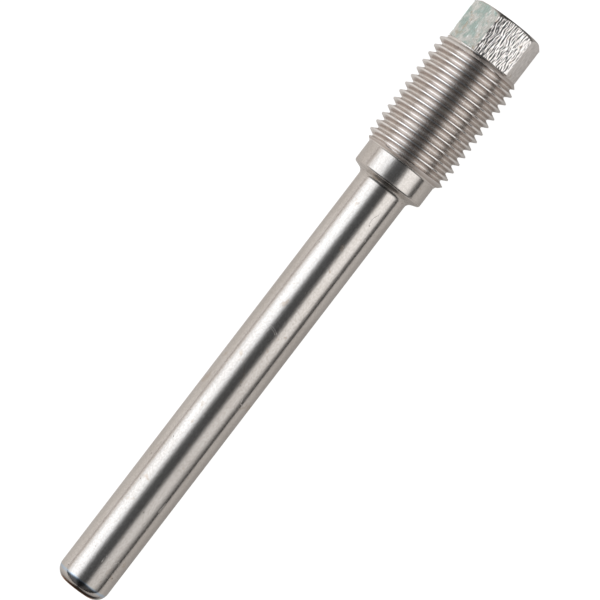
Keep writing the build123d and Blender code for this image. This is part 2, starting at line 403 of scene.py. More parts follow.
def heat_coloured(f, base):
    """Lays the weld's heat colours over a base colour."""
    out = f.maths("SUBTRACT", f.radius(), weld_r)
    back = f.maths("SUBTRACT", f.along(), weld_x)
    distance = f.maths("SQRT", f.maths("ADD", f.maths("POWER", out, 2.0), f.maths("POWER", back, 2.0)))
    distance = f.maths("MULTIPLY_ADD", f.noise(0.9), 0.3, distance)
    hue = f.ramp(distance, heat_reach, *heat_plan)
    return f.tint(f.between(distance, heat_fade, heat_reach, heat_strength, 0.0), base, hue)


def knock_marks(f):
    """Two short arcs side by side on top of the stem, where something struck it."""
    along, beside, up = f.along(), f.along(1), f.along(2)

    def distance(x, y):
        square = f.maths("POWER", f.maths("SUBTRACT", beside, y), 2.0)
        square = f.maths("ADD", f.maths("POWER", f.maths("SUBTRACT", along, x), 2.0), square)
        return f.maths("SQRT", square)

    marks = 0.0
    for radius in knock_radii:
        off = f.maths("ABSOLUTE", f.maths("SUBTRACT", distance(*knock_bend), radius))
        marks = f.maths("MAXIMUM", marks, f.between(off, *knock_line, 1.0, 0.0))
    near = f.between(distance(knock_x, 0.0), *knock_reach, 1.0, 0.0)
    return f.maths("MULTIPLY", marks, f.maths("MULTIPLY", near, f.between(up, 0.0, 0.5)))


def worn_steel(name, light, dark, roughness, peel, ring_marks):
    """Bare steel with polishing marks round the axis; peel and ring_marks are depths in mm."""
    f = Finish(name, Metallic=1.0)
    cloud = f.between(f.noise(5.0, (0.35, 1, 1), Detail=4.0), 0.38, 0.62)
    grain = f.between(f.noise(0.24, (0.8, 1, 1), Detail=3.0), 0.32, 0.68)
    base = f.tint(f.maths("MULTIPLY_ADD", grain, 0.55, f.maths("MULTIPLY", cloud, 0.45)), light, dark)
    stain = f.between(f.noise(2.2, shift=(0.013, 0.004, 0.007), Detail=4.0), 0.63, 0.72, 0.0, 0.5)
    base = f.tint(stain, base, (0.50, 0.395, 0.30))
    base = heat_coloured(f, base)
    pits = f.between(f.cells(1.7, (0.002, 0.001, 0.003)), 0.035, 0.06, 1.0, 0.0)
    base = f.tint(pits, base, (0.16, 0.14, 0.12))
    fine = f.noise(0.10, (1, 0.05, 0.05), Detail=2.0)
    peel_height = f.noise(0.45, (0.6, 1, 1), Detail=3.5, Roughness=0.6)
    scratch_line = f.maths("ABSOLUTE", f.maths("SUBTRACT", f.noise(3.1, (0.5, 1, 1), (0.01, 0, 0)), 0.5))
    scratches = f.between(scratch_line, 0.0, 0.006, 1.0, 0.0)
    patch = f.between(f.noise(2.6, shift=(0.021, 0.003, 0.0)), 0.60, 0.68)
    scratches = f.maths("MAXIMUM", f.maths("MULTIPLY", scratches, patch), knock_marks(f))
    relief = f.bump(peel_height, peel)
    relief = f.bump(fine, ring_marks, relief)
    relief = f.bump(f.maths("ADD", pits, scratches), -0.010, relief)
    rough = f.between(fine, 0.3, 0.7, roughness - 0.03, roughness + 0.04)
    rough = f.maths("MULTIPLY_ADD", scratches, 0.22, rough)
    rough = f.maths("MULTIPLY_ADD", stain, 0.18, rough)
    from_neck = f.maths("ABSOLUTE", f.maths("SUBTRACT", f.along(), neck_middle))
    rough = f.maths("ADD", f.between(from_neck, 0.3, 0.9, neck_dullness, 0.0), rough)
    return f.set(Base_Color=base, Roughness=rough, Normal=relief)


stem_finish = worn_steel(
    "polished_stainless", (0.70, 0.665, 0.635), (0.575, 0.535, 0.50),
    roughness=0.165, peel=0.007, ring_marks=0.0008)
weld_finish = worn_steel(
    "welded_stainless", (0.60, 0.565, 0.53), (0.53, 0.49, 0.455),
    roughness=0.22, peel=0.010, ring_marks=0.0012)
print("finishes:", stem_finish.name, weld_finish.name)

# %% [markdown]
# ## Cut thread
# A thread is left as the tool leaves it, with fine ridges along the flanks. Its colour is painted
# light and shade by depth: a painted highlight on the crest and on the floor of the root, and painted
# brown shade just above that floor, at the foot of each flank. Distance from the axis tells root from
# crest, so one finish serves the whole helix.

# %% Thread finish
# Painted light by depth, root (0) to crest (1): painted highlights on the root's floor and the crest,
# painted brown shade at the flank's foot.
thread_painted_light_plan = [
    (0.0, (0.86, 0.83, 0.80)), (0.04, (0.80, 0.76, 0.73)), (0.15, (0.56, 0.49, 0.45)),
    (0.45, (0.67, 0.615, 0.58)), (0.85, (0.80, 0.77, 0.75)), (0.97, (0.90, 0.885, 0.87)),
]


def thread_finish():
    """Bare steel whose colours, painted light and shade, go by the share of the thread's depth, root to
    crest.
    """
    f = Finish("cut_thread", Metallic=1.0)
    depth = f.between(f.radius(), thread_minor_r - 0.05, thread_major_r + 0.05)
    cloud = f.noise(1.6, Detail=3.0)
    # Painted highlights and shade, by depth in the thread.
    base = f.ramp(depth, 1.0, *thread_painted_light_plan)
    base = f.tint(f.maths("MULTIPLY", cloud, 0.35), base, (0.62, 0.56, 0.52))
    tool = f.noise(0.30, (1, 0.03, 0.03), Detail=3.0, Roughness=0.7)
    chatter = f.noise(0.5, Detail=3.0)
    relief = f.bump(tool, 0.016)
    relief = f.bump(chatter, 0.008, relief)
    rough = f.between(depth, 0.0, 1.0, 0.24, 0.17)
    rough = f.maths("MULTIPLY_ADD", cloud, 0.06, rough)
    return f.set(Base_Color=base, Roughness=rough, Normal=relief)


cut_thread = thread_finish()
print("finish:", cut_thread.name)

# %% [markdown]
# ## Skin of the drawn hexagon
# The hexagon's flats were never machined, so they keep the skin of the drawn bar. Its long shallow
# waves are real shape and are milled in further down; the finish adds the finer streaks between
# them. The tangent round the bar is worked out from the angle, so that streaks run the same way on
# all six flats. A blue-green passivation film has stayed in patches on one side of the bar, over two
# flats and part of the one below them. The chamfer, the end face and all that is turned inside the
# hexagon are plain faced steel.

# %% Hexagon finish


def bar_skin():
    """Bright drawn steel with streaks along it, and the film's patches on the flats that kept it."""
    f = Finish("drawn_bar_skin", Metallic=1.0)
    split = f.add("SeparateXYZ", Vector=f.place).outputs
    angle = f.maths("ARCTAN2", split[2], split[1])
    tangent = f.maths("MULTIPLY", angle, (flats_r + corner_r) / 2 * mm)
    sheet = f.add("CombineXYZ", X=split[0], Y=tangent).outputs[0]
    fine = f.noise(0.20, (0.35, 1, 1), Detail=2.0, vector=sheet)
    film_edge = hex_turn + math.pi / 3
    side = f.between(f.maths("ABSOLUTE", angle), film_edge - 0.02, film_edge, 1.0, 0.0)
    film = f.between(f.noise(1.5, (1, 1, 1), (0.004, 0.0, 0.002), Detail=6.0, Roughness=0.6), 0.42, 0.60)
    film = f.maths("MULTIPLY", f.maths("MULTIPLY_ADD", film, 0.55, 0.25), side)
    cloud = f.between(f.noise(0.5, (0.6, 1, 1), Detail=5.0, Roughness=0.65), 0.36, 0.64)
    base = f.tint(cloud, (0.92, 0.895, 0.88), (0.78, 0.745, 0.72))
    base = f.tint(film, base, (0.36, 0.50, 0.465))
    rust = f.between(f.noise(1.3, shift=(0.003, 0.009, 0.001), Detail=4.0), 0.60, 0.70, 0.0, 0.5)
    base = f.tint(rust, base, (0.52, 0.42, 0.31))
    relief = f.bump(fine, 0.016)
    rough = f.between(fine, 0.3, 0.7, 0.04, 0.09)
    rough = f.maths("MULTIPLY_ADD", film, 0.26, rough)
    return f.set(Base_Color=base, Roughness=rough, Normal=relief)


hexagon_skin = bar_skin()
faced_end = worn_steel(
    "faced_end", (0.70, 0.67, 0.64), (0.62, 0.585, 0.55), roughness=0.21, peel=0.003, ring_marks=0.0015)
print("finishes:", hexagon_skin.name, faced_end.name)

# %% [markdown]
# ## Finishes of the small parts
# What is inside the pocket is seen only through its mouth or when someone takes it apart, but each
# material still looks like itself. They share one recipe, two colours in clouds with grain on top,
# and differ in colour, gloss, and which way the grain runs: along a drawn wire, round a turned bush,
# and every way in packed powder.

# %% Small part finishes


def grained(name, light, dark, rough, size, stretch, depth, metallic=1.0):
    """Two-tone material with grain of a size, stretch and depth, and roughness between two values."""
    f = Finish(name, Metallic=metallic)
    cloud = f.noise(size * 8, Detail=3.0)
    grain = f.noise(size, stretch, Detail=3.0)
    speck = f.between(f.cells(size * 10, (0.001, 0.002, 0.003)), 0.03, 0.08, 0.6, 0.0)
    base = f.tint(f.between(cloud, 0.35, 0.65), light, dark)
    base = f.tint(speck, base, tuple(c * 0.5 for c in dark))
    relief = f.bump(grain, depth)
    roughness = f.between(grain, 0.3, 0.7, *rough)
    return f.set(Base_Color=base, Roughness=roughness, Normal=relief)


round_axis, along_axis, every_way = (1, 0.05, 0.05), (0.05, 1, 1), (1, 1, 1)
finishes = {
    "plated_steel": hexagon_skin,
    "stainless_turned": stem_finish,
    "stainless_weld": weld_finish,
    "bronze_bush": grained(
        "oiled_bronze", (0.72, 0.47, 0.24), (0.60, 0.37, 0.18), (0.28, 0.42), 0.10, round_axis, 0.002),
    "spring_steel": grained(
        "spring_steel", (0.33, 0.33, 0.34), (0.25, 0.25, 0.27), (0.24, 0.38), 0.12, along_axis, 0.003),
    "seal_rubber": grained(
        "seal_rubber", (0.030, 0.030, 0.032), (0.018, 0.018, 0.019), (0.5, 0.7), 0.15, every_way, 0.004,
        metallic=0.0),
    "nickel_alloy": grained(
        "annealed_nickel_alloy", (0.58, 0.56, 0.52), (0.49, 0.47, 0.45), (0.3, 0.42), 0.12, along_axis,
        0.002),
    "packed_oxide": grained(
        "packed_oxide", (0.84, 0.83, 0.80), (0.74, 0.73, 0.70), (0.85, 0.98), 0.08, every_way, 0.01,
        metallic=0.0),
    "positive_alloy": grained(
        "positive_alloy", (0.55, 0.53, 0.50), (0.44, 0.42, 0.40), (0.24, 0.36), 0.09, round_axis, 0.001),
    "negative_alloy": grained(
        "negative_alloy", (0.66, 0.65, 0.63), (0.56, 0.55, 0.53), (0.2, 0.3), 0.09, round_axis, 0.001),
    "sealing_resin": grained(
        "sealing_resin", (0.42, 0.16, 0.07), (0.30, 0.10, 0.05), (0.12, 0.25), 0.4, every_way, 0.006,
        metallic=0.0),
    "potting_resin": grained(
        "potting_resin", (0.06, 0.065, 0.07), (0.035, 0.038, 0.04), (0.25, 0.4), 0.3, every_way, 0.008,
        metallic=0.0),
    "ceramic_insulator": grained(
        "glazed_ceramic", (0.83, 0.80, 0.73), (0.75, 0.71, 0.64), (0.18, 0.32), 0.25, every_way, 0.003,
        metallic=0.0),
}
print(len(finishes), "finishes for the record's slots")

# %% [markdown]
# ## Pocket: stem, neck and collar
# One outline runs from the foot of the thread, down over collar, neck and stem to the rounded tip,
# back up the long bore, through the wider spring chamber and out to the thread's far end. It is left
# open between those two places, where the thread will be joined in; its foot lies a hair before the
# thread's, so that a narrow ring can join the two.

# %% Turn the pocket
foot, thread_foot = 0.01, 0.04
foot_rounding = 0.2
ledge_r = 5.2
seat_r = plug_r + snug
chamber_r = bush_r + snug
end_bevel_r = thread_major_r - end_bevel
tip_arc_end = 180 - math.degrees(math.asin((seat_r - (stem_r - tip_rounding)) / tip_rounding))
tip_centre = (tip_x + tip_rounding, stem_r - tip_rounding)
pocket_outline = [
    (foot, end_bevel_r + foot),
    (collar_r - end_bevel_r, collar_r, foot_rounding),
    (collar_front, collar_r, collar_rounding),
    (neck_front, stem_r, neck_rounding),
    *round_stretch(tip_centre, tip_rounding, 90, tip_arc_end),
    (plug_back, seat_r),
    (plug_back, bore_r),
    (bush_front, bore_r),
    (bush_front, chamber_r),
    (barrel_end, chamber_r),
    (barrel_end, ledge_r),
]
pocket = spun(pocket_outline, closed=False)
print("pocket without its thread:", len(pocket.faces), "faces")

# %% [markdown]
# ## Pocket: the thread
# A screw thread is one tooth outline carried round the axis while it moves along it. Spin does both:
# dvec adds a step along the axis to each step round it. One turn is spun and then copied a pitch
# further each time, which is much quicker than spinning them all; each copy starts exactly where the
# one before it ends, and merging the doubles closes the helix. Right-handed means that it moves
# towards the hexagon as it turns from +Y up to +Z.

# %% Wind the thread


def thread_bmesh():
    """Helix longer than the barrel at both ends, open, with rounded roots and crests."""
    bm = bmesh.new()
    rise = (thread_major_r - thread_minor_r) * math.tan(flank)
    root_flat = pitch - crest_flat - 2 * rise
    start = crest_at_side - pitch / 2 - pitch
    corners = [
        (start, thread_minor_r),
        (start + root_flat / 2, thread_minor_r),
        (start + root_flat / 2 + rise, thread_major_r),
        (start + root_flat / 2 + rise + crest_flat, thread_major_r),
        (start + pitch - root_flat / 2, thread_minor_r),
        (start + pitch, thread_minor_r),
    ]
    outline(bm, corners, closed=False)
    flanks = [e for e in bm.edges if e.calc_length() > rise * mm]
    bmesh.ops.subdivide_edges(bm, edges=flanks, cuts=4)
    for vert in [v for v in bm.verts if len(v.link_edges) == 2]:
        sides = [e.other_vert(vert).co - vert.co for e in vert.link_edges]
        is_corner = math.pi - sides[0].angle(sides[1]) > 0.5
        if is_corner:
            at_root = vert.co.y < (thread_minor_r + thread_major_r) / 2 * mm
            rounded(bm, vert, root_rounding if at_root else crest_rounding, 4 if at_root else 2)
    bmesh.ops.spin(
        bm, geom=bm.verts[:] + bm.edges[:], cent=(0, 0, 0), axis=(1, 0, 0), angle=full_turn,
        steps=around, dvec=(pitch / around * mm, 0, 0), use_merge=False,
    )
    one_turn = bm.verts[:] + bm.edges[:] + bm.faces[:]
    for turn in range(1, math.ceil(barrel_end / pitch) + 2):
        copy = bmesh.ops.duplicate(bm, geom=one_turn)["geom"]
        verts = [part for part in copy if isinstance(part, bmesh.types.BMVert)]
        bmesh.ops.translate(bm, verts=verts, vec=(turn * pitch * mm, 0, 0))
    bmesh.ops.remove_doubles(bm, verts=bm.verts[:], dist=merge_distance)
    return bm


thread = thread_bmesh()
print("thread as wound:", len(thread.faces), "faces")

# %% [markdown]
# The wound thread is longer than the barrel, so both ends are cut off square, and then bevelled as a
# turner does before cutting: whatever stands above a 45 degree cone is brought down to it. The
# cone ends a hair under the thread's root, so each cut edge becomes a plain circle, and filling
# the ring between that circle and the pocket's own edge closes the skin.

# %% Trim, bevel and join


def trim(bm, x, keep_side):
    """Cuts everything beyond x mm; keep_side is 1 to keep what is nearer the hexagon."""
    bmesh.ops.bisect_plane(
        bm, geom=bm.verts[:] + bm.edges[:] + bm.faces[:], plane_co=(x * mm, 0, 0),
        plane_no=(-keep_side, 0, 0), clear_outer=True,
    )


def cone_limit(x):
    """Largest radius that the end bevels leave at a place, in mm."""
    return min(end_bevel_r + min(x, barrel_end - x), thread_major_r)


trim(thread, thread_foot, 1)
trim(thread, barrel_end, -1)
for vert in thread.verts:
    r = math.hypot(vert.co.y, vert.co.z) / mm
    limit = cone_limit(vert.co.x / mm)
    if r > limit:
        vert.co.y *= limit / r
        vert.co.z *= limit / r
for face in thread.faces:
    face.material_index = 1


def rim(bm, x):
    """Open edges of a mesh at one place along the axis."""
    boundary = [e for e in bm.edges if e.is_boundary]
    return [e for e in boundary if all(abs(v.co.x - x * mm) < 0.002 * mm for v in e.verts)]


thread_mesh = bpy.data.meshes.new("thread")
thread.to_mesh(thread_mesh)
thread.free()
pocket.from_mesh(thread_mesh)
bpy.data.meshes.remove(thread_mesh)
for pocket_edge, thread_edge in ((foot, thread_foot), (barrel_end, barrel_end)):
    rims = {*rim(pocket, pocket_edge), *rim(pocket, thread_edge)}
    filled = bmesh.ops.triangle_fill(pocket, edges=list(rims), use_beauty=True, normal=(1, 0, 0))
    for part in filled["geom"]:
        if isinstance(part, bmesh.types.BMFace):
            part.material_index = 1
piece(pocket, "pocket_shell", "pocket", [stem_finish, cut_thread], ["probe_body"])

# %% [markdown]
# ## Tip plug
# The tip is closed with a short plug, welded in and dressed to the stem's own rounding. It is a plain
# lathe part whose outline follows that rounding, so that only the heat colours show the weld.

# %% Turn the tip plug
plug_arc = round_stretch(tip_centre, tip_rounding, 180, tip_arc_end, 8)
plug_outline = [(tip_x, 0.0), *plug_arc, (plug_back, seat_r), (plug_back, 0.0)]
plug = spun(plug_outline, closed=False)
piece(plug, "tip_weld_plug", "pocket", [weld_finish], ["tip_plug"])

# %% [markdown]
# ## Hexagon: turn it, then mill it
# The head is made as on the machine. First a round blank is turned with its spigot, its mouth and the
# two grooves, as wide as the hexagon's corners. Then the flats are milled: a point of the blank at
# some angle comes in to where the flat is at that angle. The end chamfer is a cone, so where the
# flat is nearer to the axis the cone meets it further out, which makes the curved edges that every
# chamfered nut has. The key slot is cut last, with a Boolean, because it has nothing round in it.

# %% Turn the blank
spigot_r = bush_r
spigot_bore_r = 2.85
mouth_r, mouth_floor, mouth_lip = 3.6, 18.9, 0.3
ring_groove_r, ring_gap = 4.1, 0.05
seal_front, seal_back, seal_groove_r = 16.0, 17.0, 3.5
hex_around = 6 * 108
skin_step = 0.12  # between the rings of vertices that carry the skin
corner_edge = 0.07
chamfer_drop = (corner_r - end_circle_r) * math.tan(end_chamfer)
skin_length = hex_end - chamfer_drop - barrel_end
skin_rings = round(skin_length / skin_step)
head_outline = [
    (spigot_x, spigot_bore_r),
    (seal_front, spigot_bore_r),
    (seal_front, seal_groove_r),
    (seal_back, seal_groove_r),
    (seal_back, spigot_bore_r),
    (mouth_floor, spigot_bore_r),
    (mouth_floor, mouth_r),
    (ring_front - ring_gap, mouth_r),
    (ring_front - ring_gap, ring_groove_r),
    (ring_back + ring_gap, ring_groove_r),
    (ring_back + ring_gap, mouth_r),
    (hex_end - mouth_lip, mouth_r),
    (hex_end, mouth_r + mouth_lip),
    (hex_end, end_circle_r),
    *((barrel_end + skin_length * i / skin_rings, corner_r) for i in range(skin_rings, -1, -1)),
    (barrel_end, spigot_r),
    (spigot_x, spigot_r, 0.2),
]
head = spun(head_outline, steps=hex_around)
print("blank:", len(head.faces), "faces")

# %% Mill the flats


def flat_radius(angle):
    """Distance from the axis to the flats at an angle, in mm."""
    from_middle = (angle - hex_turn) % (math.pi / 3) - math.pi / 6
    return flats_r / math.cos(from_middle)


bmesh.ops.rotate(head, verts=head.verts[:], cent=(0, 0, 0), matrix=Matrix.Rotation(hex_turn, 3, "X"))
for vert in head.verts:
    r = math.hypot(vert.co.y, vert.co.z) / mm
    if r < corner_r - 0.01:
        continue
    milled = flat_radius(math.atan2(vert.co.z, vert.co.y))
    vert.co.y *= milled / r
    vert.co.z *= milled / r
    chamfer_foot = hex_end - (milled - end_circle_r) * math.tan(end_chamfer)
    share = (vert.co.x / mm - barrel_end) / skin_length
    vert.co.x = (barrel_end + share * (chamfer_foot - barrel_end)) * mm


def is_corner_edge(edge):
    """True for the six long edges and the chamfer's edges, outside the mouth."""
    outer = all(math.hypot(v.co.y, v.co.z) > (end_circle_r - 0.01) * mm for v in edge.verts)
    return outer and edge.calc_face_angle(0) > math.radians(18)


bmesh.ops.bevel(
    head, geom=[e for e in head.edges if is_corner_edge(e)], affect="EDGES", offset=corner_edge * mm,
    offset_type="OFFSET", segments=2, profile=0.5, material=-1, clamp_overlap=True,
)
print("milled:", len(head.faces), "faces")

# %% [markdown]
# The skin of the bar comes next. Drawing leaves waves that wander along it, two tenths of a
# millimetre wide and a few hundredths deep, and flats that are a little fuller in the middle. Each
# flat rolls over towards its left edge and ends in a narrow lip there, and falls off evenly towards
# the right. The two flats that kept their film are smoother. Where a flat mirrors the edge of a lamp,
# slopes this small already break it into black and white streaks. Each flat reads the noise at a depth
# of its own, so no two are alike. Every vertex moves straight in towards the axis, never out, so
# neighbouring flats still meet.

# %% Draw the skin
crown_depth, left_roll, right_roll = 0.05, 0.070, 0.05
roll_start = 0.3  # share of the way from a flat's middle to its edge, as are the widths below
lip_width, lip_depth = 0.07, 0.016
calm_width = 0.25
wave_length, wave_width, wave_depth = 0.8, 0.17, 0.050
wander, wander_length, wander_width = 0.35, 1.1, 1.3
filmed_flats, filmed_waves = (-1, 0), 0.45


def skin_height(x, across, flat):
    """Waves of the drawn skin at a place on a flat, from about -1 to 1."""
    across += wander * noise.noise(Vector((x / wander_length, across / wander_width, 7.3 * flat)))
    long_wave = noise.noise(Vector((x / wave_length, across / wave_width, 3.1 + flat)))
    short_wave = noise.noise(Vector((x * 2 / wave_length, across * 2 / wave_width, 11.7 + flat)))
    return long_wave + 0.4 * short_wave


def skin_drop(x, across, flat):
    """How far the skin lies below a perfect flat, in mm: crown, rolled edges, lip and waves."""
    out = across / (corner_r / 2)
    left = max(0, (-out - roll_start) / (1 - roll_start))
    roll = left_roll * left**2 if out < 0 else right_roll * out**2
    lip = max(0, (-out - 1 + lip_width) / lip_width) ** 2
    calm = max(0, min(1, (1 - out) / calm_width))
    waves = calm * max(0, 0.5 + skin_height(x, across, flat))
    if flat in filmed_flats:
        waves *= filmed_waves
    return crown_depth * out**2 + roll + lip_depth * lip + wave_depth * waves


for vert in head.verts:
    r = math.hypot(vert.co.y, vert.co.z) / mm
    x = vert.co.x / mm
    angle = math.atan2(vert.co.z, vert.co.y)
    if r < end_circle_r + 0.02 or r < flat_radius(angle) - 0.1 or x > hex_end - 0.02:
        continue
    flat, turned = divmod(angle - hex_turn, math.pi / 3)
    drop = skin_drop(x, flats_r * math.tan(turned - math.pi / 6), flat)
    vert.co.y *= 1 - drop / r
    vert.co.z *= 1 - drop / r
for face in head.faces:
    middle_of = face.calc_center_median() / mm
    radial = math.hypot(face.normal.y, face.normal.z)
    on_flats = math.hypot(middle_of.y, middle_of.z) > flats_r - 0.1 and radial > 0.8
    face.material_index = 0 if on_flats else 1
hexagon = piece(head, "hexagon", "pocket", [hexagon_skin, faced_end], ["hex_head"])

# %% Cut the key slot


def block(bm, start, end, low, high, half_width):
    """Box from start to end along the axis and from low to high out of it, turned with the hexagon."""
    size = Vector((end - start, high - low, 2 * half_width)) * mm
    centre = Vector(((start + end) / 2, (low + high) / 2, 0)) * mm
    place = Matrix.Rotation(hex_turn, 4, "X") @ Matrix.Translation(centre) @ Matrix.Diagonal((*size, 1))
    bmesh.ops.create_cube(bm, size=1, matrix=place)


def carve(target, tool, operation="DIFFERENCE"):
    """Cuts a bmesh tool out of a piece, or adds it, and leaves plain mesh."""
    mesh = bpy.data.meshes.new("tool")
    bmesh.ops.recalc_face_normals(tool, faces=tool.faces[:])
    tool.to_mesh(mesh)
    tool.free()
    cutter = bpy.data.objects.new("tool", mesh)
    bpy.context.scene.collection.objects.link(cutter)
    modifier = target.modifiers.new("carve", "BOOLEAN")
    modifier.operation, modifier.object, modifier.solver = operation, cutter, "EXACT"
    solid = target.evaluated_get(bpy.context.evaluated_depsgraph_get())
    carved = bpy.data.meshes.new_from_object(solid)
    target.modifiers.remove(modifier)
    old, target.data = target.data, carved
    bpy.data.objects.remove(cutter)
    bpy.data.meshes.remove(mesh)
    bpy.data.meshes.remove(old)
    carved.set_sharp_from_angle(angle=sharp_edge)
    print(f"{target.name}: {operation.lower()} left {len(carved.polygons)} faces")


slot_top, slot_half_width = 4.05, 0.7
slot_start = mouth_floor + 0.001  # a tool that ends exactly in the floor would leave slivers
slot_end = hex_end + 0.5
slot_tool = bmesh.new()
block(slot_tool, slot_start, slot_end, spigot_bore_r + 0.1, slot_top, slot_half_width)
carve(hexagon, slot_tool)

# %% [markdown]
# ## Retaining ring
# The ring is a strip of spring steel bent on edge and left open, so it can be squeezed in through the
# mouth. Its outline is spun through less than a full turn, and the two ends are filled.

# %% Bend the ring
ring_inner_r, ring_outer_r = 3.2, 4.05
ring_opening = math.radians(50)
ring_edge = 0.09
ring_outline = [
    (ring_front, ring_inner_r, ring_edge),
    (ring_back, ring_inner_r, ring_edge),
    (ring_back, ring_outer_r, ring_edge),
    (ring_front, ring_outer_r, ring_edge),
]
ring = spun(ring_outline, angle=full_turn - ring_opening, steps=80)
bmesh.ops.holes_fill(ring, edges=[e for e in ring.edges if e.is_boundary], sides=0)
bmesh.ops.rotate(
    ring, verts=ring.verts[:], cent=(0, 0, 0), matrix=Matrix.Rotation(hex_turn + ring_opening / 2, 3, "X"))
piece(ring, "retaining_ring", "pocket", [finishes["spring_steel"]], ["snap_ring"])

# %% [markdown]
# ## Terminal insulator
# The insulator holds the two pins apart at the open end and keys the insert in its slot. A plug has
# to go on the right way round, so a plus and a minus are pressed into its face beside the pins.

# %% Mould the insulator
insulator_step = 19.4
insulator_r, insulator_flange_r = 2.43, 3.45
key_top, key_half_width = insulator_flange_r + 0.5, 0.6
pin_offset = 1.3
pin_radii = {"positive": 0.5, "negative": 0.7}
pin_shoulder = 0.2
pin_around = 48
overrun = 1.0  # how far the tools reach past the insulator
mark_depth, mark_half, mark_out, mark_line = 0.12, 0.36, 2.35, 0.09
insulator_outline = [
    (insulator_front, 0.0),
    (insulator_front, insulator_r, 0.15),
    (insulator_step, insulator_r),
    (insulator_step, insulator_flange_r, 0.1),
    (insulator_back, insulator_flange_r, 0.2),
    (insulator_back, 0.0),
]
insulator = piece(
    spun(insulator_outline, closed=False), "contact_insulator", "measuring_insert",
    [finishes["ceramic_insulator"]], ["terminal_insulator"])
key_tool = bmesh.new()
block(key_tool, insulator_step, insulator_back, insulator_flange_r / 2, key_top, key_half_width)
carve(insulator, key_tool, "UNION")


def across(bm, offset):
    """Moves a lathe part sideways, to one of the pins' places."""
    bmesh.ops.translate(bm, verts=bm.verts[:], vec=(0, offset * mm, 0))
    bmesh.ops.rotate(bm, verts=bm.verts[:], cent=(0, 0, 0), matrix=Matrix.Rotation(hex_turn, 3, "X"))
    return bm


for name, side in (("positive", 1), ("negative", -1)):
    hole_r = pin_radii[name] + pin_shoulder + snug
    hole_start, hole_end = insulator_front - overrun, insulator_back + overrun
    hole = [(hole_start, 0.0), (hole_start, hole_r), (hole_end, hole_r), (hole_end, 0.0)]
    carve(insulator, across(spun(hole, closed=False, steps=pin_around), side * pin_offset))
    mark_floor, mark_y = insulator_back - mark_depth, side * mark_out
    bar = bmesh.new()
    block(bar, mark_floor, hole_end, mark_y - mark_half, mark_y + mark_half, mark_line)
    carve(insulator, bar)
    if side > 0:
        upright = bmesh.new()
        block(upright, mark_floor, hole_end, mark_y - mark_line, mark_y + mark_line, mark_half)
        carve(insulator, upright)

# %% [markdown]
# ## Contact pins
# Both pins are turned with a solder cup at the back, a thicker shank that stays in the insulator, and
# a rounded nose that finds its socket. The positive pin is the thinner one.

# %% Turn the pins
cup_hole_r, cup_wall, cup_depth = 0.37, 0.38, 1.5
pin_nose = 0.2
for name, side in (("positive", 1), ("negative", -1)):
    pin_r = pin_radii[name]
    shank_r = pin_r + pin_shoulder
    cup_r = max(cup_hole_r + cup_wall, shank_r)
    pin_outline = [
        (cup_x + cup_depth, 0.0),
        (cup_x + cup_depth, cup_hole_r),
        (cup_x, cup_hole_r),
        (cup_x, cup_r, 0.05),
        (insulator_front, cup_r),
        (insulator_front, shank_r),
        (insulator_back, shank_r),
        (insulator_back, pin_r, 0.08),
        (pin_tip, pin_r, pin_nose),
        (pin_tip, 0.0),
    ]
    pin = across(spun(pin_outline, closed=False, steps=pin_around), side * pin_offset)
    piece(pin, f"{name}_contact", "measuring_insert", [finishes[f"{name}_alloy"]],
          [f"{name}_pin"])

# %% [markdown]
# ## Finishes for the pieces that stay as they are
# The bush, spring, seals, sheath, wires and fillings keep the working model's own shapes. Each takes
# the finish of its slot in the record.

# %% Give every node its finish
for part in frame["record"]["subparts"]:
    for material_slot in frame["nodes"][part["node"]].material_slots:
        material_slot.material = finishes[part["material_slot"]]

# %% [markdown]
# ## Table
# A pale table under the probe, a little below white so that the probe's shadow can show on it. Its
# own glow is for the camera and for reflections, which is what the metal's edges mirror; the plan
# lists that glow by place across the probe, a painted reflection: a warm glow, brighter or dimmer by
# place, that the metal mirrors in place of the soft boxes' light on the table. In line with the
# probe, past its tip and past its head, reflections find a painted dark strip, black and unlit.

# %% Table
# Painted reflection: how bright the table glows in reflections, by place across the probe, in mm.
painted_table_reflection_plan = [(-26, 0.42), (-5, 0.27), (4, 0.46), (28, 0.61)]
table_reach = 40.0  # the plan's limit on either side, in mm
seen_glow = 0.93
strip_y, strip_half, strip_edge, painted_strip_darkness = -3.0, 7.0, 13.0, 0.95
tip_painted_strip = (tip_x - 7, tip_x - 2)
head_painted_strip = (hex_end + 6, hex_end + 14)


def table_finish():
    """Matt grey, glowing evenly for the camera and in a painted pattern with dark strips for reflections.
    """
    f = Finish("pale_table", Roughness=0.7)
    path = f.add("LightPath").outputs
    mirrored = f.maths("MAXIMUM", path["Is Glossy Ray"], path["Is Transmission Ray"])
    beside = f.along(1)
    stops = [(y + table_reach, (level,) * 3) for y, level in painted_table_reflection_plan]
    glow = f.ramp(f.maths("ADD", beside, table_reach), 2 * table_reach, *stops)
    # Painted dark strips past the tip and the head: in reflections only, the table there is black and
    # unlit.
    past_tip = f.between(f.along(), *tip_painted_strip, 1.0, 0.0)
    past_head = f.between(f.along(), *head_painted_strip)
    off_line = f.maths("ABSOLUTE", f.maths("SUBTRACT", beside, strip_y))
    in_line = f.between(off_line, strip_half, strip_edge, painted_strip_darkness, 0.0)
    dark = f.maths("MULTIPLY", f.maths("MULTIPLY", f.maths("ADD", past_tip, past_head), in_line), mirrored)
    glow = f.maths("MULTIPLY", glow, f.maths("SUBTRACT", mirrored, dark))
    strength = f.maths("MULTIPLY_ADD", path["Is Camera Ray"], seen_glow, glow)
    return f.set(
        Base_Color=f.tint(dark, (0.34, 0.34, 0.34), (0.0, 0.0, 0.0)),
        Emission_Color=f.tint(mirrored, (1.0, 1.0, 1.0), (1.0, 0.94, 0.885)), Emission_Strength=strength)


